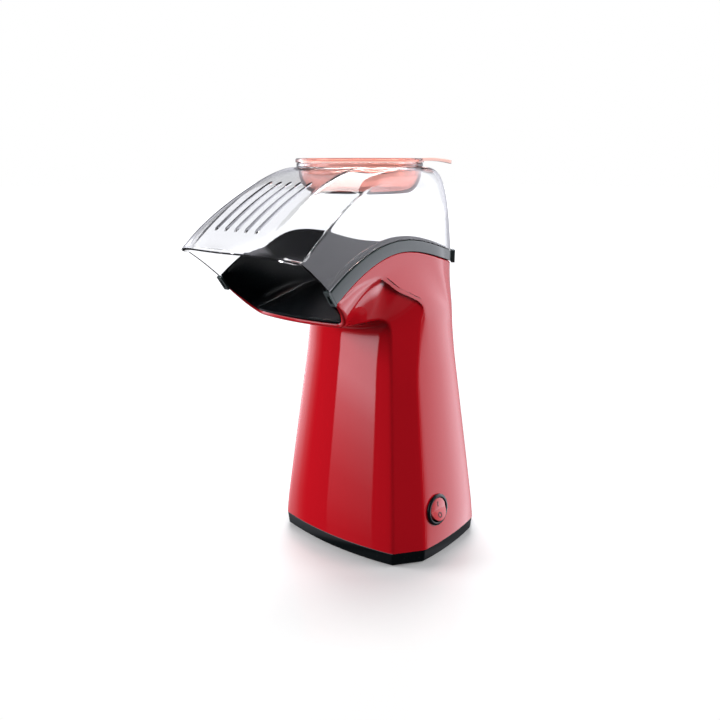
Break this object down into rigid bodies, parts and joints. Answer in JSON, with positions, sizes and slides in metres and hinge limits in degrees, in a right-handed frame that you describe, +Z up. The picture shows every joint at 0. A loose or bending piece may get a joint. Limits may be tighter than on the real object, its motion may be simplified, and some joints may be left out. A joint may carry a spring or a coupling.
{
  "type": "hot-air popcorn maker",
  "caption": "Hot-air popcorn maker with a tall tapered body, a forward spout, a clear lift-off hood, a measuring cup in its top and a round rocker switch low on one side.",
  "frame": {"origin": "on the floor under the middle of the outline in plan, on the body's centre plane", "axes": "+X to the side with the switch, -Y to the front where the spout is, +Z up"},
  "size_m": [0.1428, 0.22, 0.2894],
  "materials": {
    "red_shell": "gloss moulded red",
    "grey_trim": "gloss dark grey",
    "black_plastic": "satin black",
    "black_gloss": "gloss black",
    "clear_plastic": "clear moulded plastic",
    "red_clear_plastic": "clear orange-red moulded plastic",
    "foot_rubber": "matt rubber",
    "screw_steel": "zinc-plated steel",
    "shield_steel": "dull plated steel",
    "rocker_red": "gloss red",
    "terminal_brass": "dull brass",
    "cream_plastic": "cream heat-resistant plastic",
    "chamber_aluminium": "spun aluminium",
    "mica_board": "mica board",
    "heater_wire": "resistance wire",
    "magnet_grey": "sintered ferrite",
    "armature_core": "laminated core with its windings",
    "board_green": "circuit board"
  },
  "bodies": {
    "base": {"housing": "red_shell", "trim_band": "grey_trim", "chute": "black_plastic", "collar_plate": "black_plastic", "front_catches": "grey_trim", "rear_catches": "grey_trim", "base_cover": "black_gloss", "rubber_feet": "foot_rubber", "base_screws": "screw_steel", "switch_body": "black_gloss", "switch_terminals": "terminal_brass", "cord_inlet": "black_plastic", "terminal_block": "cream_plastic", "popping_chamber": "chamber_aluminium", "chamber_screws": "screw_steel", "heat_shield": "shield_steel", "heater_former": "mica_board", "heater_coil": "heater_wire", "thermostat": "shield_steel", "thermal_fuse": "cream_plastic", "fan_duct": "black_plastic", "duct_screws": "screw_steel", "motor_can": "shield_steel", "motor_end_cap": "black_plastic", "motor_bearings": "terminal_brass", "motor_magnets": "magnet_grey", "motor_screws": "screw_steel", "rectifier_board": "board_green", "diodes": "black_plastic"},
    "hood": {"clear_hood": "clear_plastic"},
    "cup": {"measuring_cup": "red_clear_plastic"},
    "rocker": {"switch_rocker": "rocker_red"},
    "rotor": {"motor_shaft": "screw_steel", "fan_impeller": "black_plastic", "armature": "armature_core"}
  },
  "joints": [
    {"name": "hood_lift", "type": "slide", "parent": "base", "child": "hood", "axis": [0, 0, 1], "range_m": [0, 0.12]},
    {"name": "cup_lift", "type": "slide", "parent": "hood", "child": "cup", "axis": [0, 0, 1], "range_m": [0, 0.06]},
    {"name": "rocker_tip", "type": "hinge", "parent": "base", "child": "rocker", "pos_m": [0.06588, 0.03069, 0.03784], "axis": [0.0774, 0.997, 0], "range_deg": [0, 18]},
    {"name": "fan_spin", "type": "hinge", "parent": "base", "child": "rotor", "pos_m": [0, 0.04819, 0.084], "axis": [0, 0, 1], "continuous": true}
  ]
}
